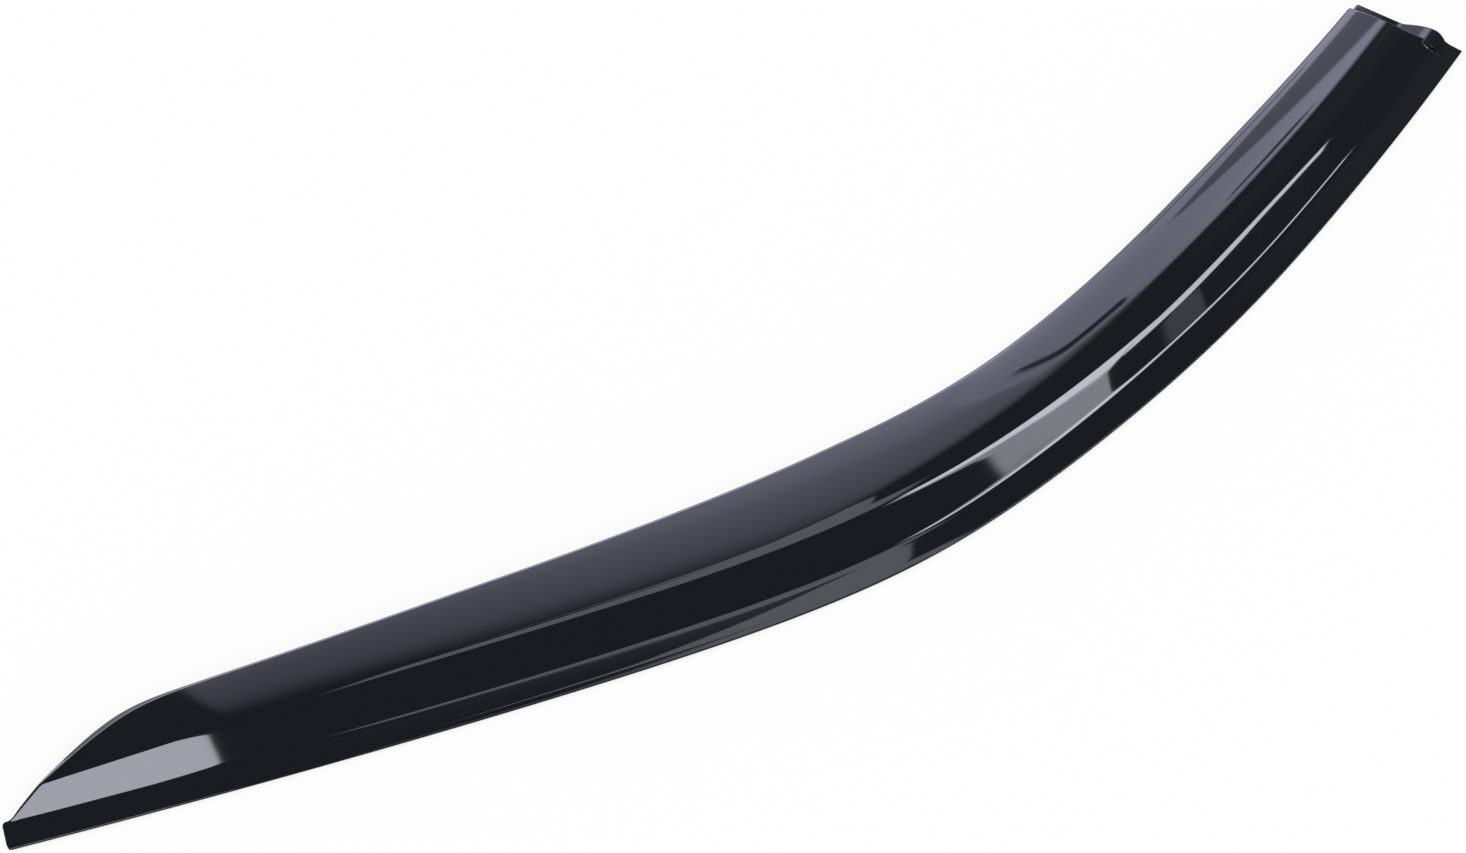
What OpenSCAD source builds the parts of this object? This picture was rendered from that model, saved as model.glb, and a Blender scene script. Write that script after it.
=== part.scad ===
// Rain deflector for a front door window, lying with its outer face up.
// One thin moulded shell: a bonding flange that thins to its edge, a riser and a crowned visor face,
// swept along the door frame from a blunt nose to a square end with a bonding foot. Foam tape lies
// under the flange.
// s runs along the flange's outer edge from the nose, u runs across towards the free edge.

/* [Flange edge, from the nose to the square end] */
// Length of the nearly straight leg beside the windscreen pillar
pillar_len = 512; // [430:1:640]
// Length of the bend between the pillar and the roof line
bend_len = 64; // [50:1:80]
// Length of the curved leg below the roof line
roof_len = 245; // [200:1:300]
// Length of the flatter stretch up to the square end
rear_len = 179; // [150:1:220]
// Plan radius of the pillar leg
pillar_rad = 6700; // [5000:100:9000]
// Plan radius that the bend tends to
bend_rad = 240; // [200:5:320]
// Plan radius of the roof leg
roof_rad = 915; // [760:5:1200]
// Plan radius of the rear stretch
rear_rad = 2200; // [1800:50:3000]

/* [Width across the section] */
// Width of the blunt nose
nose_w = 16; // [12:0.5:19]
// Width at the shoulder, where the slanted tip ends
shoulder_w = 66.5; // [56:0.5:80]
// Width half way along the pillar leg
pillar_w = 75; // [64:0.5:90]
// Width at the bend, the widest place
bend_w = 84.5; // [72:0.5:100]
// Width where the roof leg starts
roof_w = 78.5; // [66:0.5:94]
// Width where the rear stretch starts
rear_w = 77.5; // [66:0.5:92]
// Width at the square end
end_w = 70.5; // [60:0.5:84]

/* [Flange and riser] */
// Width of the bonding flange
flange_w = 14.2; // [12:0.1:17.5]
// Riser width near the nose
nose_riser_w = 13.5; // [11:0.5:16]
// Riser width at the shoulder
shoulder_riser_w = 20.3; // [17:0.1:24]
// Riser width on the pillar leg
pillar_riser_w = 22.5; // [19:0.1:27]
// Riser width at the bend
bend_riser_w = 21.5; // [18:0.1:26]
// Riser width on the roof leg
roof_riser_w = 18.2; // [15:0.1:22]
// Riser width at the square end
end_riser_w = 12; // [10:0.5:14]
// Riser height near the nose
nose_riser_h = 8.3; // [6:0.1:10]
// Riser height at the shoulder
shoulder_riser_h = 12.5; // [10:0.1:15]
// Riser height on the pillar leg
pillar_riser_h = 13.5; // [11:0.1:16]
// Riser height at the bend
bend_riser_h = 13.3; // [11:0.1:16]
// Riser height on the roof leg
roof_riser_h = 12.3; // [10:0.1:15]
// Riser height at the square end
end_riser_h = 7.5; // [6:0.1:9]

/* [Wall and edges] */
// Thickness of the moulded wall
wall = 2.5; // [2:0.1:3]
// Thickness of the flange's outer edge, as a share of the wall
thin_edge = 0.45; // [0.4:0.05:1]
// Rounding of the edges
edge_round = 0.8; // [0.4:0.1:1]
// Width of the bevelled rim along the free edge
rim_w = 1.8; // [1.2:0.1:3]
// Extra rim width on the slanted tip
tip_rim_w = 3.4; // [1:0.1:4]

/* [Nose and square end] */
// Distance from the nose to where the tip starts to slant
tip_from = 4; // [2:0.5:8]
// Angle between the slanted tip and the flange, in degrees
tip_angle = 33.4; // [28:0.1:40]
// Rounding of the nose's corners in plan
nose_round = 2.5; // [1:0.5:4]
// Slant of the square end, in degrees from straight across
end_slant = 5.5; // [0:0.5:12]
// Width of the bonding foot at the square end
foot_w = 5.5; // [4.5:0.5:9]
// How far the foot stands back from the free edge
foot_inset = 2; // [0:0.5:4]
// Slope of the wall between the visor face and the foot, in degrees
end_wall_angle = 60; // [45:1:70]
// Height of the arch in the foot
arch_h = 4.5; // [2:0.5:6]
// Width of the arch's steep side, beside the flange
arch_steep_w = 9; // [7:0.5:12]
// Width of the arch's long side
arch_long_w = 19; // [14:0.5:23]
// How far the arch stands out past the foot
arch_out = 2; // [0:0.5:3]

/* [Foam tape] */
// Thickness of the tape
tape_t = 1.2; // [0.8:0.1:2]
// Width of the tape under the flange
tape_w = 10; // [6:0.5:12]
// Distance of the tape from the flange's outer edge
tape_inset = 2; // [1:0.5:3]
// Gap between one strip of tape and the next
tape_gap = 6; // [2:1:20]
// Distance from the ends of the shell to the tape
tape_end = 6; // [4:0.5:12]
// Width of the pad under the foot
pad_w = 4; // [3:0.5:4.5]
// Distance from the pad to the arch and to the free edge
pad_margin = 3; // [2:0.5:6]

/* [Hidden] */

edge_len = pillar_len + bend_len + roof_len + rear_len;
flange_z = tape_t + wall;
foot_line = edge_len - foot_w;
deg_per_rad = 180 / PI;

// Distances over which one plan radius eases into the next
bend_ease = 114;
roof_ease = 44;
rear_ease = 25;

// Places of the sections that the shell is lofted through. The part is widest a little before the
// bend starts, and has the roof leg's section a little after the bend ends.
shoulder_at = 160;
pillar_at = 300;
widest_before_bend = 12;
roof_after_bend = 64;
bend_at = pillar_len - widest_before_bend;
roof_at = pillar_len + bend_len + roof_after_bend;
rear_at = edge_len - rear_len;

// The section goes on narrowing from the shoulder to the nose, where the tip is cut from it
nose_narrowing = 8.5;

// Each section: place, riser width, riser height, whole width,
// slope of the visor face where it leaves the riser, slope at the free edge
sections = [
    [0, nose_riser_w, nose_riser_h, shoulder_w - nose_narrowing, 0.10, -0.30],
    [shoulder_at, shoulder_riser_w, shoulder_riser_h, shoulder_w, 0.12, -0.30],
    [pillar_at, pillar_riser_w, pillar_riser_h, pillar_w, 0.12, -0.30],
    [bend_at, bend_riser_w, bend_riser_h, bend_w, 0.15, -0.42],
    [roof_at, roof_riser_w, roof_riser_h, roof_w, 0.20, -0.58],
    [rear_at, roof_riser_w, roof_riser_h, rear_w, 0.26, -0.66],
    [edge_len, end_riser_w, end_riser_h, end_w, 0.45, -0.72]
];

// Share of the flange's thinning that gathers speed towards its outer edge
flange_bow = 0.35;
// The edge rounding takes at most this share of the thickness
round_share = 0.7;

// Fillet sizes, as the height over which two faces melt into each other
riser_foot_blend = 1.2;
ridge_blend = 1.5;
faded_foot_blend = 4;
faded_ridge_blend = 7;
end_blend = 1;
// The two ridges fade out over this stretch before the square end
fade_from = 125;
fade_to = 60;
// The slanted tip melts into the nose and into the free edge where they are less than this apart
nose_blend = 3;
shoulder_blend = 21;
// The rim is widest here, and this wide about that place
rim_peak_at = 65;
rim_spread = 32;
// Slope of the rim against the visor face, and the width of the fillet between them
rim_slope = 0.55;
rim_fillet = 1.2;
// Stretches over which the slant of the square end and the rounding of the corners die away
slant_run = 150;
corner_run = 12;
// The arch starts this far inside the flange
arch_overlap = 3.8;
arch_top = flange_w - arch_overlap + arch_steep_w;

// Fillets between two heights: the curvature rises and falls evenly, and both faces stay as they are
// beyond it
function melt_up(a, b, k) = max(a, b) + pow(max(k - abs(a - b), 0), 3) / (6 * k * k);
function melt_down(a, b, k) = -melt_up(-a, -b, k);

// 0 before a, 1 after b, smooth between
function ease(x, a, b) = let (t = min(max((x - a) / (b - a), 0), 1)) t * t * (3 - 2 * t);

// Fall of a quarter round of radius r at a distance x inside its edge
function quarter_round(x, r) = x >= r ? 0 : r - sqrt(r * r - pow(r - max(x, 0), 2));

// Heading of the flange edge: each change of radius is eased in over its own distance
function soft_ramp(x, w) = w / 2 * ln(1 + exp(2 * x / w));
function heading(s) = deg_per_rad * (s / pillar_rad
    + (1 / bend_rad - 1 / pillar_rad) * soft_ramp(s - pillar_len, bend_ease)
    + (1 / roof_rad - 1 / bend_rad) * soft_ramp(s - pillar_len - bend_len, roof_ease)
    + (1 / rear_rad - 1 / roof_rad) * soft_ramp(s - rear_at, rear_ease));
function direction(a) = [cos(a), sin(a)];

// Flange edge in plan, stepped along its heading
route_step = 2;
route_n = ceil(edge_len / route_step);
route = [for (i = 0, p = [0, 0]; i <= route_n;
    p = p + route_step * direction(heading((i + 0.5) * route_step)), i = i + 1) p];
function on_route(s) =
    let (k = min(max(floor(s / route_step), 0), route_n - 1), f = s / route_step - k)
    route[k] + f * (route[k + 1] - route[k]);

// The chord from the nose to the square end lies along X
chord_turn = let (p = on_route(edge_len)) atan2(p.y, p.x);
function turned(p) = [
    p.x * cos(chord_turn) + p.y * sin(chord_turn),
    p.y * cos(chord_turn) - p.x * sin(chord_turn)
];
function in_plan(s, u) = turned(on_route(s) + u * direction(heading(s) + 90));

// Smooth value of one section size between the sections
function rise(c, i) = (sections[i + 1][c] - sections[i][c]) / (sections[i + 1][0] - sections[i][0]);
function mid_slope(c, i) =
    let (last = len(sections) - 1)
    i == 0 ? rise(c, 0) : i == last ? rise(c, last - 1)
    : (sections[i + 1][c] - sections[i - 1][c]) / (sections[i + 1][0] - sections[i - 1][0]);
function between(c, s) =
    let (
        i = max([for (k = [0:len(sections) - 2]) if (k == 0 || sections[k][0] <= s) k]),
        h = sections[i + 1][0] - sections[i][0],
        t = min(max((s - sections[i][0]) / h, 0), 1)
    )
    (2 * t * t * t - 3 * t * t + 1) * sections[i][c]
    + (t * t * t - 2 * t * t + t) * h * mid_slope(c, i)
    + (3 * t * t - 2 * t * t * t) * sections[i + 1][c]
    + (t * t * t - t * t) * h * mid_slope(c, i + 1);
function section_at(s) = [for (c = [1:5]) between(c, s)];

// Width of the part at s: a slanted line cuts the tip from the full section, and the foot stands
// back from the free edge
function width_at(s, full) =
    melt_down(melt_up(nose_w, nose_w + (s - tip_from) * tan(tip_angle), nose_blend), full, shoulder_blend)
    - foot_inset * ease(s, foot_line - foot_inset, foot_line);
function rim_at(s) = rim_w + tip_rim_w * exp(-pow((s - rim_peak_at) / rim_spread, 2));
function rim_drop(x) = x < rim_fillet ? rim_slope * pow(max(x, 0), 2) / (2 * rim_fillet)
    : rim_slope * (x - rim_fillet / 2);

// Arch in the foot, as a share of its height: steep beside the flange, long towards the free edge
function arch_share(u) =
    let (side = u < arch_top ? arch_steep_w : arch_long_w)
    abs(u - arch_top) < side ? cos(90 * (u - arch_top) / side) : 0;

// Thickness of the flange at u, thinnest at its outer edge
function thickness_at(u) =
    let (t = max(1 - u / flange_w, 0), thinning = (1 - flange_bow) * t + flange_bow * t * t)
    wall * (1 - (1 - thin_edge) * thinning);

// Height of the outer face before its edges are rounded; q is the section at s
function face_z(s, u, q) =
    let (
        x = u - flange_w - q[0],
        span = q[2] - flange_w - q[0],
        fade = ease(s, edge_len - fade_from, edge_len - fade_to),
        ridge_k = ridge_blend + (faded_ridge_blend - ridge_blend) * fade,
        foot_k = riser_foot_blend + (faded_foot_blend - riser_foot_blend) * fade,
        flange = tape_t + thickness_at(u),
        riser = flange_z + q[1] / q[0] * (u - flange_w),
        visor = flange_z + q[1] + q[3] * x + (q[4] - q[3]) * x * max(x, 0) / (2 * span),
        end_wall = flange_z + tan(end_wall_angle) * (foot_line - s),
        raised = melt_down(melt_down(riser, visor, ridge_k), end_wall, end_blend),
        body = melt_up(flange, raised, foot_k),
        arch = s > foot_line - arch_h ? flange + arch_h * arch_share(u) : 0
    )
    max(body, arch) - rim_drop(u - width_at(s, q[2]) + rim_at(s));

function outer_z(s, u, q) = face_z(s, u, q)
    - quarter_round(min(u, width_at(s, q[2]) - u, s, edge_len - s),
        min(edge_round, round_share * thickness_at(u)));

// The inner face lies a wall thickness below, measured square to the face, and is level over the
// tape and a little beyond it
tape_clear = 0.5;
tape_seat = tape_inset + tape_w + tape_clear;
probe = 0.3;
function inner_z(s, u, q) =
    let (
        across = (face_z(s, u + probe, q) - face_z(s, u - probe, q)) / (2 * probe),
        along = (face_z(s + probe, u, q) - face_z(s - probe, u, q)) / (2 * probe),
        below = face_z(s, u, q) - wall * sqrt(1 + across * across + along * along)
    )
    max(tape_t, min(below, tape_t + max(u - tape_seat, 0)))
    + (u > tape_seat ? quarter_round(width_at(s, q[2]) - u, edge_round) : 0);

// Plan place of a point: the square end slants, its arch stands out and the nose's corners are round
function shell_plan(s, u, w) =
    let (
        slant = u * tan(end_slant) * ease(s, edge_len - slant_run, edge_len),
        bulge = arch_out * arch_share(u) * ease(s, edge_len - corner_run, edge_len),
        corner = quarter_round(min(u, w - u), nose_round) * (1 - ease(s, 0, corner_run))
    )
    in_plan(s - slant + bulge + corner, u);

// n steps from a to b, crowded towards both ends or even
function crowded(a, b, n) = [for (i = [0:n - 1]) a + (b - a) * (1 - cos(180 * i / n)) / 2];
function even(a, b, n) = [for (i = [0:n - 1]) a + (b - a) * i / n];

// Stretches of stations along the part: where each starts and its number of steps. They are
// shortest at the nose, round the bend and down the end wall.
nose_stretch = 32;
before_bend = 110;
after_bend = 70;
before_end = 50;
above_foot = 14;
past_foot_line = 1;
stretches = [
    [0, 12],
    [nose_stretch, 14],
    [shoulder_at, 10],
    [pillar_len - before_bend, 17],
    [pillar_len + bend_len + after_bend, 16],
    [edge_len - before_end, 3],
    [foot_line - above_foot, 11],
    [foot_line + past_foot_line, 4],
    [edge_len, 0]
];
stations = concat(
    [for (i = [0:len(stretches) - 2])
        each even(stretches[i][0], stretches[i + 1][0], stretches[i][1])],
    [edge_len]
);

// Places across one station: steps over the flange, the riser, the visor face and the rim. Where the
// tip cuts the section short, the flange and the riser keep at most these shares of what is left.
flange_steps = 7;
riser_steps = 8;
visor_steps = 11;
rim_steps = 4;
flange_share = 0.7;
riser_share = 0.85;
function across(s, q) =
    let (
        w = width_at(s, q[2]),
        rim = w - rim_at(s),
        f = min(flange_w, flange_share * rim),
        r = min(flange_w + q[0], f + riser_share * (rim - f))
    )
    concat(crowded(0, f, flange_steps), crowded(f, r, riser_steps), crowded(r, rim, visor_steps),
        even(rim, w, rim_steps), [w]);

function corner_box(points) = [
    [for (k = [0, 1]) min([for (p = points) p[k]])],
    [for (k = [0, 1]) max([for (p = points) p[k]])]
];

// Rows of points of the outer and the inner face
shell_rows = [for (s = stations) let (q = section_at(s), w = width_at(s, q[2]))
    [for (u = across(s, q)) let (p = shell_plan(s, u, w))
        [p.x, p.y, outer_z(s, u, q), inner_z(s, u, q)]]];
plan_box = corner_box([for (row = shell_rows) each row]);
plan_centre = (plan_box[0] + plan_box[1]) / 2;

module deflector_shell() {
    rows = len(shell_rows);
    cols = len(shell_rows[0]);
    outer = [for (row = shell_rows) for (p = row) [p.x - plan_centre.x, p.y - plan_centre.y, p[2]]];
    inner = [for (row = shell_rows) for (p = row) [p.x - plan_centre.x, p.y - plan_centre.y, p[3]]];
    n = rows * cols;
    // The points round the rim, in order, seen from above counter-clockwise
    rim = concat(
        [for (i = [0:rows - 2]) i * cols],
        [for (j = [0:cols - 2]) (rows - 1) * cols + j],
        [for (i = [rows - 1:-1:1]) i * cols + cols - 1],
        [for (j = [cols - 1:-1:1]) j]
    );
    faces = concat(
        [for (i = [0:rows - 2]) for (j = [0:cols - 2]) let (a = i * cols + j)
            each [[a, a + cols + 1, a + cols], [a, a + 1, a + cols + 1]]],
        [for (i = [0:rows - 2]) for (j = [0:cols - 2]) let (a = n + i * cols + j)
            each [[a, a + cols, a + cols + 1], [a, a + cols + 1, a + 1]]],
        [for (k = [0:len(rim) - 1]) let (a = rim[k], b = rim[(k + 1) % len(rim)])
            each [[a, b, b + n], [a, b + n, a + n]]]
    );
    color([0.05, 0.05, 0.06]) polyhedron(points = concat(outer, inner), faces = faces, convexity = 8);
}

// A flat piece of tape with these corners in plan
module tape(corners) {
    color([0.3, 0.3, 0.31]) translate([-plan_centre.x, -plan_centre.y, 0])
        linear_extrude(height = tape_t) polygon(corners);
}

// One strip of tape under the flange, from s0 to s1
tape_step = 14;
module flange_tape(s0, s1) {
    n = ceil((s1 - s0) / tape_step);
    near = [for (i = [0:n]) in_plan(s0 + (s1 - s0) * i / n, tape_inset)];
    far = [for (i = [n:-1:0]) in_plan(s0 + (s1 - s0) * i / n, tape_inset + tape_w)];
    tape(concat(near, far));
}

// The strip round the bend starts this far before it and ends this far after it
tape_before_bend = 70;
tape_after_bend = 110;
first_joint = pillar_len - tape_before_bend;
second_joint = pillar_len + bend_len + tape_after_bend;
module pillar_tape() {
    flange_tape(tape_end, first_joint - tape_gap / 2);
}
module bend_tape() {
    flange_tape(first_joint + tape_gap / 2, second_joint - tape_gap / 2);
}
module roof_tape() {
    flange_tape(second_joint + tape_gap / 2, edge_len - tape_end);
}

// The pad under the foot, between the arch and the free edge
module foot_tape() {
    near_edge = (foot_w - pad_w) / 2;
    u0 = arch_top + arch_long_w + pad_margin;
    u1 = end_w - foot_inset - pad_margin;
    tape([for (c = [[near_edge + pad_w, u0], [near_edge, u0], [near_edge, u1], [near_edge + pad_w, u1]])
        shell_plan(edge_len - c[0], c[1], end_w)]);
}

deflector_shell();
pillar_tape();
bend_tape();
roof_tape();
foot_tape();
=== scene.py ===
from math import atan2, cos, pi, radians, sin, tan

import bpy
import numpy as np
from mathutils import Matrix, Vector


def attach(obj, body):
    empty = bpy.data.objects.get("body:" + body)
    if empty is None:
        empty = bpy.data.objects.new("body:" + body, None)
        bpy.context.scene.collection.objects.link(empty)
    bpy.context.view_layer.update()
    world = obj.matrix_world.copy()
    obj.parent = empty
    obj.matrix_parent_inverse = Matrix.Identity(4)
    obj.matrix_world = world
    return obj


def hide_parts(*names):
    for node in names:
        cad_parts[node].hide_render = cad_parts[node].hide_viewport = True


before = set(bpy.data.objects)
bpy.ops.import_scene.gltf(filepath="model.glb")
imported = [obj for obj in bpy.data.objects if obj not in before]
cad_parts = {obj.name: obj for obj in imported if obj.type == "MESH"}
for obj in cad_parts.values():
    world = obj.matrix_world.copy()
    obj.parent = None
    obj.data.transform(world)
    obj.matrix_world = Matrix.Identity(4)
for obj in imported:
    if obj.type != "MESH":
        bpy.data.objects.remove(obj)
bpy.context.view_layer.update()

# Sizes in millimetres. s runs along the flange's outer edge from the nose, u runs across from there
# towards the free edge.
MM = 0.001

# The flange edge in plan: pillar leg, bend, roof leg and rear stretch, and how gently each turns into
# the next
PILLAR_LEN = 512
BEND_LEN = 64
ROOF_LEN = 245
REAR_LEN = 179
EDGE_LEN = PILLAR_LEN + BEND_LEN + ROOF_LEN + REAR_LEN
PILLAR_RAD = 6700
BEND_RAD = 240
ROOF_RAD = 915
REAR_RAD = 2200
BEND_EASE = 114
ROOF_EASE = 44
REAR_EASE = 25

# Flange, wall, tape and edges. THIN_EDGE is the share of the wall left at the flange's outer edge.
FLANGE_W = 14.2
WALL = 2.5
THIN_EDGE = 0.45
FLANGE_BOW = 0.35
TAPE_T = 1.2
FLANGE_Z = TAPE_T + WALL
TAPE_SEAT = 12.5
EDGE_ROUND = 0.8
ROUND_SHARE = 0.7
LOWER_ROUND = 0.25
# The step over which a slope is measured, and how near two points are welded
SLOPE_PROBE = 0.3
WELD = 0.004

# Sections: s, riser width, riser height, whole width, slope of the visor face where it leaves the
# riser, slope at the free edge
SECTIONS = np.array([
    [0, 13.5, 8.3, 58, 0.10, -0.30],
    [160, 20.3, 12.5, 66.5, 0.12, -0.30],
    [300, 22.5, 13.5, 75, 0.12, -0.30],
    [500, 21.5, 13.3, 84.5, 0.15, -0.42],
    [640, 18.2, 12.3, 78.5, 0.20, -0.58],
    [821, 18.2, 12.3, 77.5, 0.26, -0.66],
    [1000, 12, 7.5, 70.5, 0.45, -0.72],
])
# Fillets of the riser's foot and of the ridge above it: on the legs, round the bend, where the mould's
# edges are a little softer, and faded out near the square end
FOOT_BLEND = 1.2
RIDGE_BLEND = 1.5
BEND_FOOT_BLEND = 2
BEND_RIDGE_BLEND = 2.6
FADED_FOOT_BLEND = 4
FADED_RIDGE_BLEND = 7
SOFT_AT = 700
SOFT_RUN = 110
FADE_FROM = EDGE_LEN - 92
FADE_TO = EDGE_LEN - 36

# The tip: nose, slanted cut and bevelled rim
NOSE_W = 16
NOSE_ROUND = 2.5
TIP_FROM = 4
TIP_ANGLE = radians(33.4)
NOSE_BLEND = 3
SHOULDER_BLEND = 21
RIM_W = 1.8
TIP_RIM_W = 3.4
RIM_PEAK_AT = 65
RIM_SPREAD = 32
RIM_SLOPE = 0.55
RIM_FILLET = 1.2

# The square end: foot, end wall and arch
FOOT_W = 5.5
FOOT_INSET = 2
FOOT_LINE = EDGE_LEN - FOOT_W
END_WALL_ANGLE = radians(60)
END_BLEND = 1
END_SLANT = radians(5.5)
SLANT_RUN = 150
CORNER_RUN = 12
ARCH_H = 4.5
ARCH_STEEP_W = 9
ARCH_LONG_W = 19
ARCH_OUT = 2
ARCH_ON_FLANGE = 3.8
ARCH_TOP = FLANGE_W - ARCH_ON_FLANGE + ARCH_STEEP_W


# The shell's shape


def melt_up(a, b, k):
    """The higher of two heights, with a fillet where they are less than k apart."""
    return np.maximum(a, b) + np.maximum(k - abs(a - b), 0) ** 3 / (6 * k * k)


def melt_down(a, b, k):
    return -melt_up(-a, -b, k)


def ease(x, a, b):
    t = np.clip((x - a) / (b - a), 0, 1)
    return t * t * (3 - 2 * t)


def quarter_round(x, r):
    """Fall of a rounded edge of radius r at a distance x inside it."""
    y = np.clip(r - np.maximum(x, 0), 0, r)
    return r - np.sqrt(r * r - y * y)


def soft_ramp(x, w):
    return w / 2 * np.logaddexp(0, 2 * x / w)


def heading(s):
    """Heading of the flange edge in plan: pillar leg, bend, roof leg and rear stretch."""
    return (
        s / PILLAR_RAD
        + (1 / BEND_RAD - 1 / PILLAR_RAD) * soft_ramp(s - PILLAR_LEN, BEND_EASE)
        + (1 / ROOF_RAD - 1 / BEND_RAD) * soft_ramp(s - PILLAR_LEN - BEND_LEN, ROOF_EASE)
        + (1 / REAR_RAD - 1 / ROOF_RAD) * soft_ramp(s - EDGE_LEN + REAR_LEN, REAR_EASE)
    )


ROUTE_STEP = 2
ROUTE_N = EDGE_LEN // ROUTE_STEP
ROUTE_TURNS = heading((np.arange(ROUTE_N) + 0.5) * ROUTE_STEP)
ROUTE = np.vstack([
    [0, 0],
    np.cumsum(ROUTE_STEP * np.stack([np.cos(ROUTE_TURNS), np.sin(ROUTE_TURNS)], -1), axis=0),
])
CHORD_TURN = atan2(ROUTE[-1][1], ROUTE[-1][0])


def in_plan(s, u):
    """Plan place of a point, with the chord of the flange edge along X."""
    at = np.arange(ROUTE_N + 1) * ROUTE_STEP
    turn = heading(s)
    x = np.interp(s, at, ROUTE[:, 0]) - u * np.sin(turn)
    y = np.interp(s, at, ROUTE[:, 1]) + u * np.cos(turn)
    # Just past either end the edge runs on straight
    past = s - np.clip(s, 0, EDGE_LEN)
    x = x + past * np.cos(turn)
    y = y + past * np.sin(turn)
    c, n = cos(CHORD_TURN), sin(CHORD_TURN)
    return np.stack([x * c + y * n, y * c - x * n], -1)


def section(column, s):
    """Smooth value of one section size at s."""
    at, size = SECTIONS[:, 0], SECTIONS[:, column]
    rise = np.diff(size) / np.diff(at)
    slope = np.concatenate([[rise[0]], (size[2:] - size[:-2]) / (at[2:] - at[:-2]), [rise[-1]]])
    i = np.clip(np.searchsorted(at, s, side="right") - 1, 0, len(at) - 2)
    h = at[i + 1] - at[i]
    t = np.clip((s - at[i]) / h, 0, 1)
    return (
        (2 * t**3 - 3 * t**2 + 1) * size[i]
        + (t**3 - 2 * t**2 + t) * h * slope[i]
        + (3 * t**2 - 2 * t**3) * size[i + 1]
        + (t**3 - t**2) * h * slope[i + 1]
    )


def width(s):
    """Width at s: a slanted line cuts the tip, and the foot stands back from the free edge."""
    cut = melt_up(NOSE_W, NOSE_W + (s - TIP_FROM) * tan(TIP_ANGLE), NOSE_BLEND)
    foot = FOOT_INSET * ease(s, FOOT_LINE - FOOT_INSET, FOOT_LINE)
    return melt_down(cut, section(3, s), SHOULDER_BLEND) - foot


def rim_width(s):
    return RIM_W + TIP_RIM_W * np.exp(-(((s - RIM_PEAK_AT) / RIM_SPREAD) ** 2))


def rim_fall(x):
    x = np.maximum(x, 0)
    fillet = RIM_SLOPE * x * x / (2 * RIM_FILLET)
    return np.where(x < RIM_FILLET, fillet, RIM_SLOPE * (x - RIM_FILLET / 2))


def arch_share(u):
    """The arch in the foot, steep beside the flange and long towards the free edge."""
    side = np.where(u < ARCH_TOP, ARCH_STEEP_W, ARCH_LONG_W)
    return np.where(abs(u - ARCH_TOP) < side, np.cos(pi / 2 * (u - ARCH_TOP) / side), 0)


def thickness(u):
    """Thickness of the flange, which thins towards its outer edge."""
    t = np.maximum(1 - u / FLANGE_W, 0)
    return WALL * (1 - (1 - THIN_EDGE) * ((1 - FLANGE_BOW) * t + FLANGE_BOW * t * t))


def face_height(s, u):
    """Height of the outer face before its edges are rounded."""
    riser_w, riser_h, full, first_slope, last_slope = (section(c, s) for c in range(1, 6))
    x = u - FLANGE_W - riser_w
    span = full - FLANGE_W - riser_w
    fade = ease(s, FADE_FROM, FADE_TO)
    soft = np.exp(-(((s - SOFT_AT) / SOFT_RUN) ** 2))
    ridge = RIDGE_BLEND + (BEND_RIDGE_BLEND - RIDGE_BLEND) * soft + (FADED_RIDGE_BLEND - RIDGE_BLEND) * fade
    foot = FOOT_BLEND + (BEND_FOOT_BLEND - FOOT_BLEND) * soft + (FADED_FOOT_BLEND - FOOT_BLEND) * fade
    flange = TAPE_T + thickness(u)
    riser = FLANGE_Z + riser_h / riser_w * (u - FLANGE_W)
    crown = (last_slope - first_slope) * x * np.maximum(x, 0) / (2 * span)
    visor = FLANGE_Z + riser_h + first_slope * x + crown
    end_wall = FLANGE_Z + tan(END_WALL_ANGLE) * (FOOT_LINE - s)
    raised = melt_down(melt_down(riser, visor, ridge), end_wall, END_BLEND)
    body = melt_up(flange, raised, foot)
    arch = np.where(s > FOOT_LINE - ARCH_H, flange + ARCH_H * arch_share(u), 0)
    return np.maximum(body, arch) - rim_fall(u - width(s) + rim_width(s))


def outer_height(s, u):
    in_from_edge = np.minimum(np.minimum(u, width(s) - u), np.minimum(s, EDGE_LEN - s))
    return face_height(s, u) - quarter_round(in_from_edge, np.minimum(EDGE_ROUND, ROUND_SHARE * thickness(u)))


def inner_height(s, u):
    """A wall thickness below the outer face, and level where the tape is stuck on."""
    across = (face_height(s, u + SLOPE_PROBE) - face_height(s, u - SLOPE_PROBE)) / (2 * SLOPE_PROBE)
    along = (face_height(s + SLOPE_PROBE, u) - face_height(s - SLOPE_PROBE, u)) / (2 * SLOPE_PROBE)
    below = face_height(s, u) - WALL * np.sqrt(1 + across**2 + along**2)
    seated = np.minimum(below, TAPE_T + np.maximum(u - TAPE_SEAT, 0))
    free_edge = np.where(u > TAPE_SEAT, quarter_round(width(s) - u, EDGE_ROUND), 0)
    return np.maximum(TAPE_T, seated) + free_edge


def shell_plan(s, u):
    """Plan place, with the slant and the arch of the square end and the round corners of the nose."""
    slant = u * tan(END_SLANT) * ease(s, EDGE_LEN - SLANT_RUN, EDGE_LEN)
    bulge = ARCH_OUT * arch_share(u) * ease(s, EDGE_LEN - CORNER_RUN, EDGE_LEN)
    corner = quarter_round(np.minimum(u, width(s) - u), NOSE_ROUND) * (1 - ease(s, 0, CORNER_RUN))
    return in_plan(s - slant + bulge + corner, u)


# Where the rows along the shell start and how many there are up to the next stop: shortest at the
# nose, where the tip is cut, round the bend and down the end wall
ROW_STOPS = [0, EDGE_ROUND, 8, 110, 400, 760, 930, 972, 985.5, 995.5, EDGE_LEN - EDGE_ROUND, EDGE_LEN]
ROW_STEPS = [5, 12, 64, 90, 190, 66, 28, 12, 44, 9, 5]
# The same across: edge round, flange, riser foot, riser, ridge, visor face, rim fillet, rim, edge round
PLACE_STEPS = [5, 3, 12, 8, 16, 16, 9, 3, 5]


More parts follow.
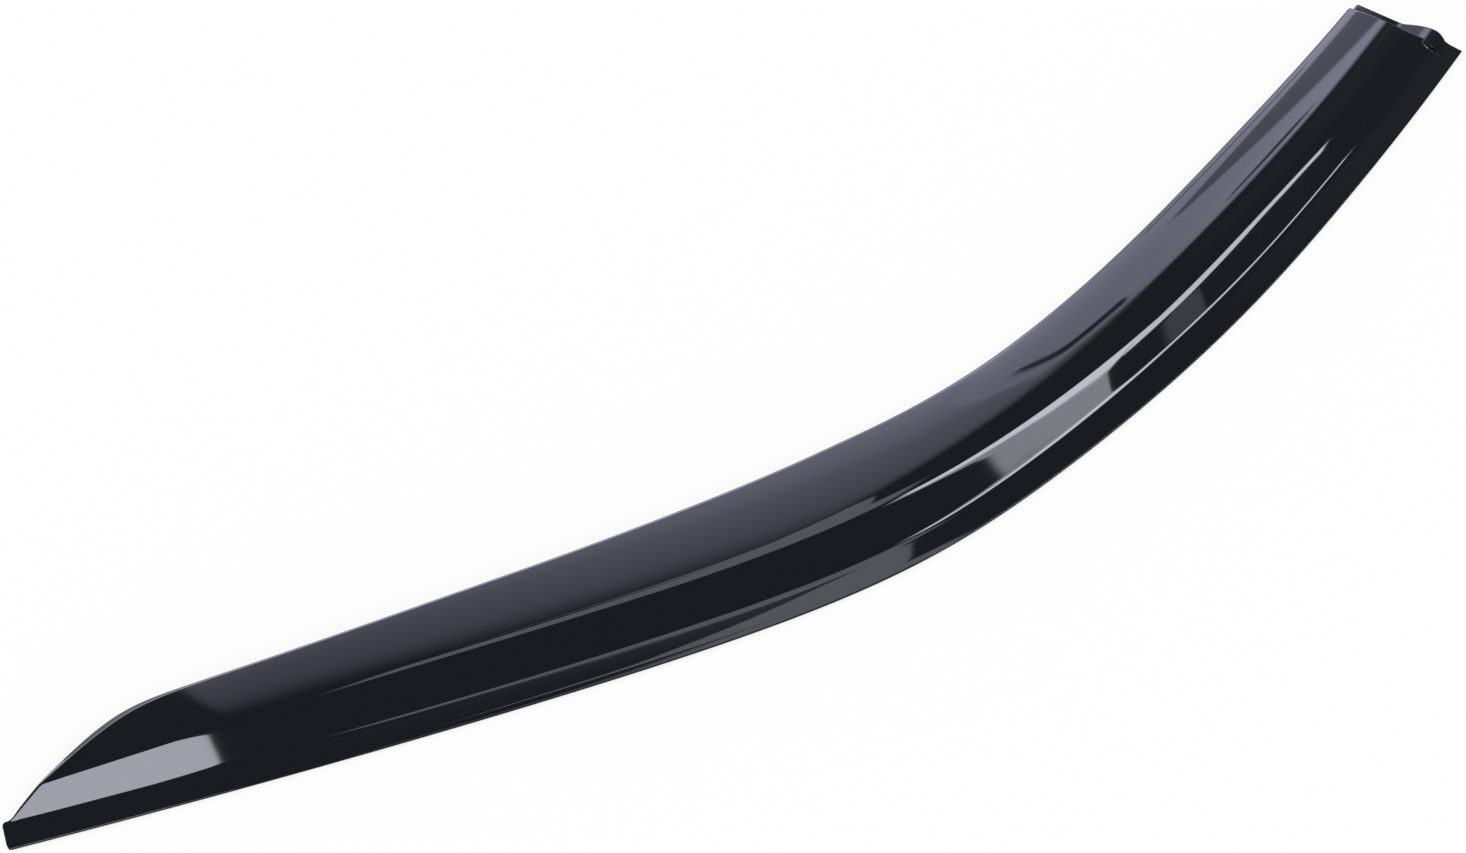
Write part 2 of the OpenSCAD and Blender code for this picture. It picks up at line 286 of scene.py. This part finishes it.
def crowded(n, end):
    """n steps from 0 to 1, closed up towards one end as round a quarter circle."""
    a = np.linspace(0, pi / 2, n + 1)
    return 1 - np.cos(a) if end == "first" else np.sin(a)


def spread(stops, steps):
    """Places between the stops. Each stop may be a number or one number for each row."""
    places = []
    last = len(steps) - 1
    for k, n in enumerate(steps):
        t = crowded(n, "first") if k == 0 else crowded(n, "last") if k == last else np.linspace(0, 1, n + 1)
        a, b = np.asarray(stops[k], float), np.asarray(stops[k + 1], float)
        places.append(a[..., None] + (b - a)[..., None] * (t if k == last else t[:-1]))
    return np.concatenate(places, axis=-1)


def places_across(s):
    w = width(s)
    rim = w - rim_width(s)
    ridge = FLANGE_W + section(1, s)
    room = rim - 0.5
    return spread(
        [
            0 * s,
            0 * s + EDGE_ROUND,
            np.minimum(FLANGE_W - 3, 0.55 * room),
            np.minimum(FLANGE_W + 3, 0.75 * room),
            np.minimum(ridge - 3.5, 0.85 * room),
            np.minimum(ridge + 3.5, 0.95 * room),
            room,
            np.minimum(rim + 1.4, w - EDGE_ROUND - 0.1),
            w - EDGE_ROUND,
            w,
        ],
        PLACE_STEPS,
    )


# Modelling


def deselect_all():
    for o in bpy.context.selected_objects:
        o.select_set(False)


def two_skins(name, rows, places):
    """A sheet of rows by places faces with a second sheet below it, closed round its rim."""
    deselect_all()
    bpy.ops.mesh.primitive_grid_add(
        x_subdivisions=rows, y_subdivisions=places, size=1, location=(0.5, 0.5, 0)
    )
    piece = bpy.context.object
    piece.name = piece.data.name = name
    bpy.ops.object.transform_apply(location=True, rotation=False, scale=False)
    bpy.ops.object.mode_set(mode="EDIT")
    bpy.ops.mesh.select_all(action="SELECT")
    bpy.ops.mesh.extrude_region_move(TRANSFORM_OT_translate={"value": (0, 0, -1)})
    bpy.ops.object.mode_set(mode="OBJECT")
    return piece


def shape_shell():
    row_at = spread(ROW_STOPS, ROW_STEPS)
    place_at = places_across(row_at)
    rows, places = place_at.shape[0] - 1, place_at.shape[1] - 1
    shell = two_skins("gloss_shell", rows, places)
    mesh = shell.data
    co = np.empty(len(mesh.vertices) * 3)
    mesh.vertices.foreach_get("co", co)
    co = co.reshape(-1, 3)
    i = np.rint(co[:, 0] * rows).astype(int)
    j = np.rint(co[:, 1] * places).astype(int)
    s, u = row_at[i], place_at[i, j]
    height = np.where(co[:, 2] > -0.5, outer_height(s, u), inner_height(s, u))
    plan = shell_plan(s, u)
    plan_centre = (plan.min(0) + plan.max(0)) / 2
    co = np.column_stack([plan - plan_centre, height]) * MM
    mesh.vertices.foreach_set("co", co.ravel())
    mesh.update()
    bpy.ops.object.mode_set(mode="EDIT")
    bpy.ops.mesh.select_all(action="SELECT")
    bpy.ops.mesh.normals_make_consistent(inside=False)
    # The lower edges of the flange, the nose and the foot lose their sharp corner
    bpy.ops.mesh.select_all(action="DESELECT")
    bpy.ops.mesh.select_mode(type="EDGE")
    bpy.ops.mesh.edges_select_sharp(sharpness=radians(60))
    bpy.ops.mesh.bevel(offset=LOWER_ROUND * MM, segments=2, affect="EDGES")
    bpy.ops.mesh.select_all(action="SELECT")
    bpy.ops.mesh.remove_doubles(threshold=WELD * MM)
    bpy.ops.mesh.dissolve_degenerate(threshold=WELD * MM)
    bpy.ops.object.mode_set(mode="OBJECT")
    # No corner of the bevel stands below the underside
    for vertex in mesh.vertices:
        vertex.co.z = max(vertex.co.z, TAPE_T * MM)
    bpy.ops.object.shade_smooth_by_angle(angle=radians(35))
    return shell


# Materials


def linear(hex_colour):
    """An sRGB hex colour as linear red, green, blue and alpha."""
    parts = [int(hex_colour[k:k + 2], 16) / 255 for k in (1, 3, 5)]
    return [p / 12.92 if p <= 0.04045 else ((p + 0.055) / 1.055) ** 2.4 for p in parts] + [1]


def add_node(tree, kind, links=(), values=None, **settings):
    """Adds a node with its settings, its values by socket and its links (socket, from node, from socket)."""
    node = tree.nodes.new(kind)
    for name, setting in settings.items():
        setattr(node, name, setting)
    for socket, value in (values or {}).items():
        node.inputs[socket].default_value = value
    for socket, source, out in links:
        tree.links.new(source.outputs[out], node.inputs[socket])
    return node


def new_material(name):
    material = bpy.data.materials.new(name)
    material.use_nodes = True
    material.node_tree.nodes.clear()
    return material, material.node_tree


def gloss_acrylic():
    """Injection-moulded acrylic in a smoke so dark that it reads as black. The mould's polish makes it
    mirror-like, and the shrinking wall leaves long, faint waves that bend the reflections."""
    material, tree = new_material("dark smoke acrylic, high gloss")
    place = add_node(tree, "ShaderNodeTexCoord")
    # A wave in 36 mm, a hundredth of a millimetre deep
    waves = add_node(
        tree, "ShaderNodeTexNoise", [("Vector", place, "Object")],
        {"Scale": 28, "Detail": 1, "Roughness": 0.4},
    )
    bump = add_node(
        tree, "ShaderNodeBump", [("Height", waves, "Fac")],
        {"Strength": 1, "Distance": 0.01 * MM},
    )
    shader = add_node(
        tree, "ShaderNodeBsdfPrincipled", [("Normal", bump, "Normal")],
        {"Base Color": linear("#04060E"), "Roughness": 0.02, "IOR": 1.49},
    )
    add_node(tree, "ShaderNodeOutputMaterial", [("Surface", shader, "BSDF")])
    return material


def tape_foam():
    """Closed-cell acrylic foam tape: matt dark grey, a little uneven in tone, with cells that show on its
    cut sides."""
    material, tree = new_material("closed-cell foam tape")
    place = add_node(tree, "ShaderNodeTexCoord")
    # Cells of 0.5 mm, and patches of about 11 mm
    cells = add_node(tree, "ShaderNodeTexVoronoi", [("Vector", place, "Object")], {"Scale": 1 / (0.5 * MM)})
    patches = add_node(tree, "ShaderNodeTexNoise", [("Vector", place, "Object")], {"Scale": 90, "Detail": 3})
    tone = add_node(tree, "ShaderNodeValToRGB", [("Fac", patches, "Fac")])
    for element, position, colour in zip(tone.color_ramp.elements, (0.35, 0.65), ("#4E4E50", "#5B5B5D")):
        element.position = position
        element.color = linear(colour)
    bump = add_node(
        tree, "ShaderNodeBump", [("Height", cells, "Distance")],
        {"Strength": 0.6, "Distance": 0.1 * MM},
    )
    shader = add_node(
        tree, "ShaderNodeBsdfPrincipled", [("Normal", bump, "Normal"), ("Base Color", tone, "Color")],
        {"Roughness": 0.85, "IOR": 1.47},
    )
    add_node(tree, "ShaderNodeOutputMaterial", [("Surface", shader, "BSDF")])
    return material


# The deflector

shell = shape_shell()
shell.data.materials.append(gloss_acrylic())
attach(shell, "root")
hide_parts("deflector_shell")

foam = tape_foam()
for name in ("pillar_tape", "bend_tape", "roof_tape", "foot_tape"):
    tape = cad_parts[name]
    tape.data.materials.clear()
    tape.data.materials.append(foam)

# The view: how far the camera looks down, its turn and the point on the floor in the middle of the
# picture. Right and away are the picture's directions on the floor.
VIEW_DOWN = radians(60)
VIEW_TURN = radians(32.315)
TARGET = Vector((-0.0197, 0.0421, 0))
AWAY = Vector((sin(VIEW_TURN), cos(VIEW_TURN), 0))
UP = Vector((0, 0, 1))
CAMERA_DISTANCE = 2.2943
LENS = 100

# The studio, in metres. The floor lies just below the tapes, so that no two faces share a plane.
FLOOR_SIZE = 40
FLOOR_DROP = 0.1 * MM
# How much of the paper's look is light of its own, where the camera or the gloss sees it
PAPER_GLOW = 0.8
PLAIN_LEVEL = 1
WALL_SIZE = 8
WALL_DISTANCE = 0.7

# What the gloss reflects. Each panel is a level of light and a convex outline. Each corner of an
# outline, counter-clockwise, has two coordinates and the width over which the edge from it to the next
# corner fades.
ROOM_LEVEL = 0.25
CEILING_TINT = (0.96, 0.97, 1.09, 1)
WALL_TINT = (0.9, 0.92, 1.22, 1)

# Panels overhead: right and away on a ceiling that is 1 up, far off
LOWEST_RISE = 0.001
OVERHEAD_STRIP = [
    (2, [
        (0.36, -0.45, 0.03), (0.45, -0.18, 0.05), (0.37, 0, 0.04), (0.25, 0.22, 0.02), (0.17, 0.27, 0.004),
        (0.01, 0.19, 0.02), (0.09, -0.1, 0.05), (0.08, -0.43, 0.01),
    ]),
    (2, [(0.01, 0.19, 0.004), (0.17, 0.27, 0.004), (0.122, 0.385, 0.002), (0.106, 0.385, 0.006)]),
]
FRONT_SOFTBOX = (9, [(-0.02, -0.85, 0.02), (0.28, -0.85, 0.002), (0.125, -0.47, 0.01), (-0.02, -0.47, 0.02)])
# Its margin, its lamp, its upper end and a small one beyond it
SIDE_SOFTBOX = [
    (5, [
        (0.62, -0.42, 0.004), (0.90, -0.472, 0.004), (1.04, -0.462, 0.004), (1.27, -0.41, 0.002),
        (1.265, -0.345, 0.004), (1.19, -0.20, 0.03), (0.54, -0.24, 0.03),
    ]),
    (8, [
        (0.66, -0.40, 0.03), (1.10, -0.42, 0.03), (1.255, -0.365, 0.03), (1.27, -0.335, 0.004),
        (1.19, -0.20, 0.03), (0.54, -0.24, 0.06),
    ]),
    (12, [
        (1.275, -0.335, 0.006), (1.42, -0.225, 0.006), (1.52, -0.125, 0.006), (1.60, -0.03, 0.006),
        (1.623, 0.03, 0.01), (1.505, 0.075, 0.06), (1.19, -0.20, 0.004),
    ]),
    (0.85, [(1.375, -0.32, 0.004), (1.46, -0.29, 0.004), (1.455, -0.215, 0.004), (1.385, -0.25, 0.02)]),
]

# On the wall behind the part: right and up, in metres
REAR_LEVEL = 2.35
REAR_PANEL = (1, [
    (0.40, 1.34, 0.12), (0.33, 1.26, 0.06), (0.20, 1.0, 0.02), (0.156, 0.90, 0.016), (0.113, 0.80, 0.012),
    (0.072, 0.70, 0.01), (0.033, 0.60, 0.008), (0.005, 0.50, 0.005), (-0.018, 0.39, 0.003),
    (-0.045, 0.13, 0.003), (-0.045, 0, 0.003), (0.70, 0, 0.1), (0.70, 0.5, 0.1), (0.58, 0.60, 0.1),
    (0.50, 0.75, 0.09), (0.43, 1.0, 0.1),
])
REAR_HOT_END = (2.4, [(0.27, 0, 0.1), (0.9, 0, 0.1), (0.9, 0.75, 0.3), (0.27, 0.75, 0.55)])
# A dark stand before the rear panel, and what hides its foot
STAND = (0.95, [
    (0.0215, 0.50, 0.008), (0.157, 0.698, 0.008), (0.206, 0.805, 0.07), (0.154, 0.828, 0.014),
    (0.112, 0.75, 0.01), (0.068, 0.647, 0.008), (0.043, 0.577, 0.005),
])
STAND_FOOT = (1, [
    (0, 0, 0.01), (0.6, 0, 0.01), (0.6, 0.35, 0.07), (0.157, 0.698, 0.07), (0.133, 0.716, 0.02),
    (0.111, 0.704, 0.014), (0.083, 0.655, 0.01), (0.045, 0.563, 0.006), (0.028, 0.516, 0.003),
    (0.008, 0.443, 0.002), (-0.021, 0.314, 0.002), (-0.05, 0.17, 0.002), (-0.05, 0, 0.01),
])
# Other dark things before the rear panel
REAR_SHADES = [
    (0.9, [
        (0.335, 0.585, 0.045), (0.37, 0.572, 0.045), (0.405, 0.60, 0.045), (0.385, 0.645, 0.045),
        (0.30, 0.69, 0.03), (0.285, 0.655, 0.045),
    ]),
    (0.66, [
        (0.067, 0.238, 0.02), (0.12, 0.178, 0.03), (0.18, 0.135, 0.04), (0.30, 0.08, 0.04), (0.8, 0.08, 0.1),
        (0.8, 0.60, 0.1), (0.36, 0.425, 0.05), (0.24, 0.372, 0.05), (0.12, 0.305, 0.03),
        (0.076, 0.275, 0.02),
    ]),
    (0.5, [(0.03, 0.118, 0.01), (0.19, 0.078, 0.01), (0.19, 0.094, 0.01), (0.03, 0.134, 0.01)]),
]
# Faint light at the right, and the low light at the left that only the rim is turned far enough to catch
SIDE_GLOWS = [
    (0.1, [(0.52, 0, 0.2), (3, 0, 0.1), (3, 1.25, 0.5), (0.52, 1.25, 0.2)]),
    (0.2, [(0.60, 0, 0.2), (3, 0, 0.1), (3, 0.72, 0.25), (0.60, 0.72, 0.2)]),
    (4, [
        (-2, 0, 0.01), (0, 0, 0.05), (-0.10, 0.26, 0.05), (-0.20, 0.40, 0.05), (-0.34, 0.51, 0.05),
        (-0.60, 0.585, 0.05), (-2, 1.1, 0.1),
    ]),
]
# Lit paper: its outline, how much dimmer its left half is, and how bright it is at each height
PAPER_OUTLINE = [(-0.63, 0, 0.1), (0.25, 0, 0.14), (0.25, 4, 0.1), (-0.63, 4, 0.022)]
PAPER_LEFT = (0.33, [(-1, 0, 0.1), (-0.35, 0, 0.5), (-0.35, 4, 0.1), (-1, 4, 0.1)])
PAPER_LEVELS = [
    (0, 2.1), (0.3, 2.05), (0.5, 1.9), (0.7, 1.55), (0.9, 1.4), (1.2, 1.23), (1.4, 1.1), (1.6, 0.95),
    (1.8, 0.8), (2, 0.6), (2.3, 0.37), (2.6, 0.17), (3, 0.04), (4, 0),
]


def panel(tree, place, level, corners):
    """A panel's light at a place, with soft edges."""
    light = None
    for (ax, ay, soft), (bx, by, _) in zip(corners, corners[1:] + corners[:1]):
        inward = Vector((ay - by, bx - ax)).normalized()
        line = (inward.x, inward.y, -inward.dot(Vector((ax, ay))))
        inside = add_node(tree, "ShaderNodeVectorMath", [(0, place, 0)], {1: line}, operation="DOT_PRODUCT")
        fade = add_node(
            tree, "ShaderNodeMapRange", [("Value", inside, "Value")],
            {"From Min": -soft / 2, "From Max": soft / 2, "To Max": 1 if light else level},
            interpolation_type="SMOOTHSTEP",
        )
        if light:
            light = add_node(tree, "ShaderNodeMath", [(0, light, 0), (1, fade, 0)], operation="MULTIPLY")
        else:
            light = fade
    return light


def together(tree, lights, base=0):
    """Some lights and a base level added up."""
    total = add_node(tree, "ShaderNodeValue")
    total.outputs[0].default_value = base
    for light in lights:
        total = add_node(tree, "ShaderNodeMath", [(0, total, 0), (1, light, 0)], operation="ADD")
    return total


def behind(tree, light, shades):
    """What the shades before a light leave of it."""
    for shade in shades:
        rest = add_node(tree, "ShaderNodeMath", [(1, shade, 0)], {0: 1}, operation="SUBTRACT")
        light = add_node(tree, "ShaderNodeMath", [(0, light, 0), (1, rest, 0)], operation="MULTIPLY")
    return light


def floor_paper():
    """White sweep paper. The camera and the gloss see it as white, and it keeps the shadow. From below
    it is clear, so that the part's underside shows."""
    material, tree = new_material("white sweep paper")
    ray = add_node(tree, "ShaderNodeLightPath")
    seen = add_node(
        tree, "ShaderNodeMath", [(0, ray, "Is Camera Ray"), (1, ray, "Is Glossy Ray")], operation="MAXIMUM"
    )
    seen = add_node(
        tree, "ShaderNodeMath", [(0, seen, 0), (1, ray, "Is Transmission Ray")], operation="MAXIMUM"
    )
    share = add_node(tree, "ShaderNodeMath", [(0, seen, 0)], {1: PAPER_GLOW}, operation="MULTIPLY")
    paper = add_node(tree, "ShaderNodeBsdfDiffuse", values={"Color": linear("#FCFCFC")})
    white = add_node(tree, "ShaderNodeEmission", values={"Color": (1, 1, 1, 1), "Strength": 1})
    upper = add_node(tree, "ShaderNodeMixShader", [(0, share, 0), (1, paper, 0), (2, white, 0)])
    side = add_node(tree, "ShaderNodeNewGeometry")
    clear = add_node(tree, "ShaderNodeBsdfTransparent")
    shown = add_node(tree, "ShaderNodeMixShader", [(0, side, "Backfacing"), (1, upper, 0), (2, clear, 0)])
    add_node(tree, "ShaderNodeOutputMaterial", [("Surface", shown, 0)])
    return material


def far_studio():
    """Plain light for all but the gloss, which sees the overhead panels. The camera sees white."""
    world = bpy.data.worlds.new("studio")
    bpy.context.scene.world = world
    world.use_nodes = True
    tree = world.node_tree
    tree.nodes.clear()
    sky = add_node(tree, "ShaderNodeTexCoord")
    turned = add_node(
        tree, "ShaderNodeMapping", [("Vector", sky, "Generated")], {"Rotation": (0, 0, VIEW_TURN)}
    )
    axes = add_node(tree, "ShaderNodeSeparateXYZ", [("Vector", turned, "Vector")])
    rise = add_node(tree, "ShaderNodeMath", [(0, axes, "Z")], {1: LOWEST_RISE}, operation="MAXIMUM")
    rise = add_node(tree, "ShaderNodeCombineXYZ", [(k, rise, 0) for k in range(3)])
    place = add_node(tree, "ShaderNodeVectorMath", [(0, turned, 0), (1, rise, 0)], operation="DIVIDE")
    lamps = [panel(tree, place, *lamp) for lamp in OVERHEAD_STRIP + [FRONT_SOFTBOX] + SIDE_SOFTBOX]
    seen = add_node(
        tree, "ShaderNodeBackground", [("Strength", together(tree, lamps, ROOM_LEVEL), 0)],
        {"Color": CEILING_TINT},
    )
    plain = add_node(tree, "ShaderNodeBackground", values={"Color": (1, 1, 1, 1), "Strength": PLAIN_LEVEL})
    white = add_node(tree, "ShaderNodeBackground", values={"Color": (1, 1, 1, 1), "Strength": 1})
    ray = add_node(tree, "ShaderNodeLightPath")
    other = add_node(tree, "ShaderNodeMixShader", [(0, ray, "Is Glossy Ray"), (1, plain, 0), (2, seen, 0)])
    shown = add_node(tree, "ShaderNodeMixShader", [(0, ray, "Is Camera Ray"), (1, other, 0), (2, white, 0)])
    add_node(tree, "ShaderNodeOutputWorld", [("Surface", shown, 0)])


def wall_light():
    """Lit paper and a bright panel behind the part. Only the gloss sees them; other rays pass."""
    material, tree = new_material("lit wall of the studio")
    sheet = add_node(tree, "ShaderNodeTexCoord")
    spot = add_node(tree, "ShaderNodeSeparateXYZ", [("Vector", sheet, "Object")])
    place = add_node(tree, "ShaderNodeCombineXYZ", [(0, spot, "X"), (1, spot, "Y")], {"Z": 1})
    highest = PAPER_LEVELS[-1][0]
    brightest = PAPER_LEVELS[0][1]
    height = add_node(tree, "ShaderNodeMapRange", [("Value", spot, "Y")], {"From Max": highest})
    tone = add_node(tree, "ShaderNodeValToRGB", [("Fac", height, 0)])
    ramp = tone.color_ramp
    while len(ramp.elements) < len(PAPER_LEVELS):
        ramp.elements.new(0.5)
    for element, (at, level) in zip(ramp.elements, PAPER_LEVELS):
        element.position = at / highest
        element.color = (level / brightest, level / brightest, level / brightest, 1)
    rear = panel(tree, place, *REAR_PANEL)
    paper = panel(tree, place, brightest, PAPER_OUTLINE)
    paper = add_node(tree, "ShaderNodeMath", [(0, paper, 0), (1, tone, 0)], operation="MULTIPLY")
    paper = behind(tree, paper, [panel(tree, place, *PAPER_LEFT), rear])
    stand = behind(tree, panel(tree, place, *STAND), [panel(tree, place, *STAND_FOOT)])
    lamp = together(tree, [panel(tree, place, *REAR_HOT_END)], REAR_LEVEL)
    lamp = add_node(tree, "ShaderNodeMath", [(0, lamp, 0), (1, rear, 0)], operation="MULTIPLY")
    lamp = behind(tree, lamp, [stand] + [panel(tree, place, *shade) for shade in REAR_SHADES])
    glows = [panel(tree, place, *glow) for glow in SIDE_GLOWS]
    light = add_node(
        tree, "ShaderNodeEmission", [("Strength", together(tree, [paper, lamp] + glows), 0)],
        {"Color": WALL_TINT},
    )
    clear = add_node(tree, "ShaderNodeBsdfTransparent")
    both = add_node(tree, "ShaderNodeAddShader", [(0, light, 0), (1, clear, 0)])
    ray = add_node(tree, "ShaderNodeLightPath")
    shown = add_node(tree, "ShaderNodeMixShader", [(0, ray, "Is Glossy Ray"), (1, clear, 0), (2, both, 0)])
    add_node(tree, "ShaderNodeOutputMaterial", [("Surface", shown, 0)])
    # The wall is no lamp: it is found only by the reflections
    material.cycles.emission_sampling = "NONE"
    return material


deselect_all()
bpy.ops.mesh.primitive_plane_add(size=FLOOR_SIZE, location=(0, 0, -FLOOR_DROP))
floor = bpy.context.object
floor.name = "sweep_floor"
floor.data.materials.append(floor_paper())

far_studio()
deselect_all()
bpy.ops.mesh.primitive_plane_add(
    size=WALL_SIZE, location=TARGET + AWAY * WALL_DISTANCE, rotation=(pi / 2, 0, -VIEW_TURN)
)
wall = bpy.context.object
wall.name = "studio_wall"
wall.data.materials.append(wall_light())

camera_data = bpy.data.cameras.new("camera")
camera_data.lens = LENS
camera_data.sensor_width = 36
camera = bpy.data.objects.new("camera", camera_data)
bpy.context.collection.objects.link(camera)
camera.location = TARGET + CAMERA_DISTANCE * (UP * sin(VIEW_DOWN) - AWAY * cos(VIEW_DOWN))
camera.rotation_euler = (pi / 2 - VIEW_DOWN, 0, -VIEW_TURN)
scene = bpy.context.scene
scene.camera = camera
scene.view_settings.view_transform = "Standard"
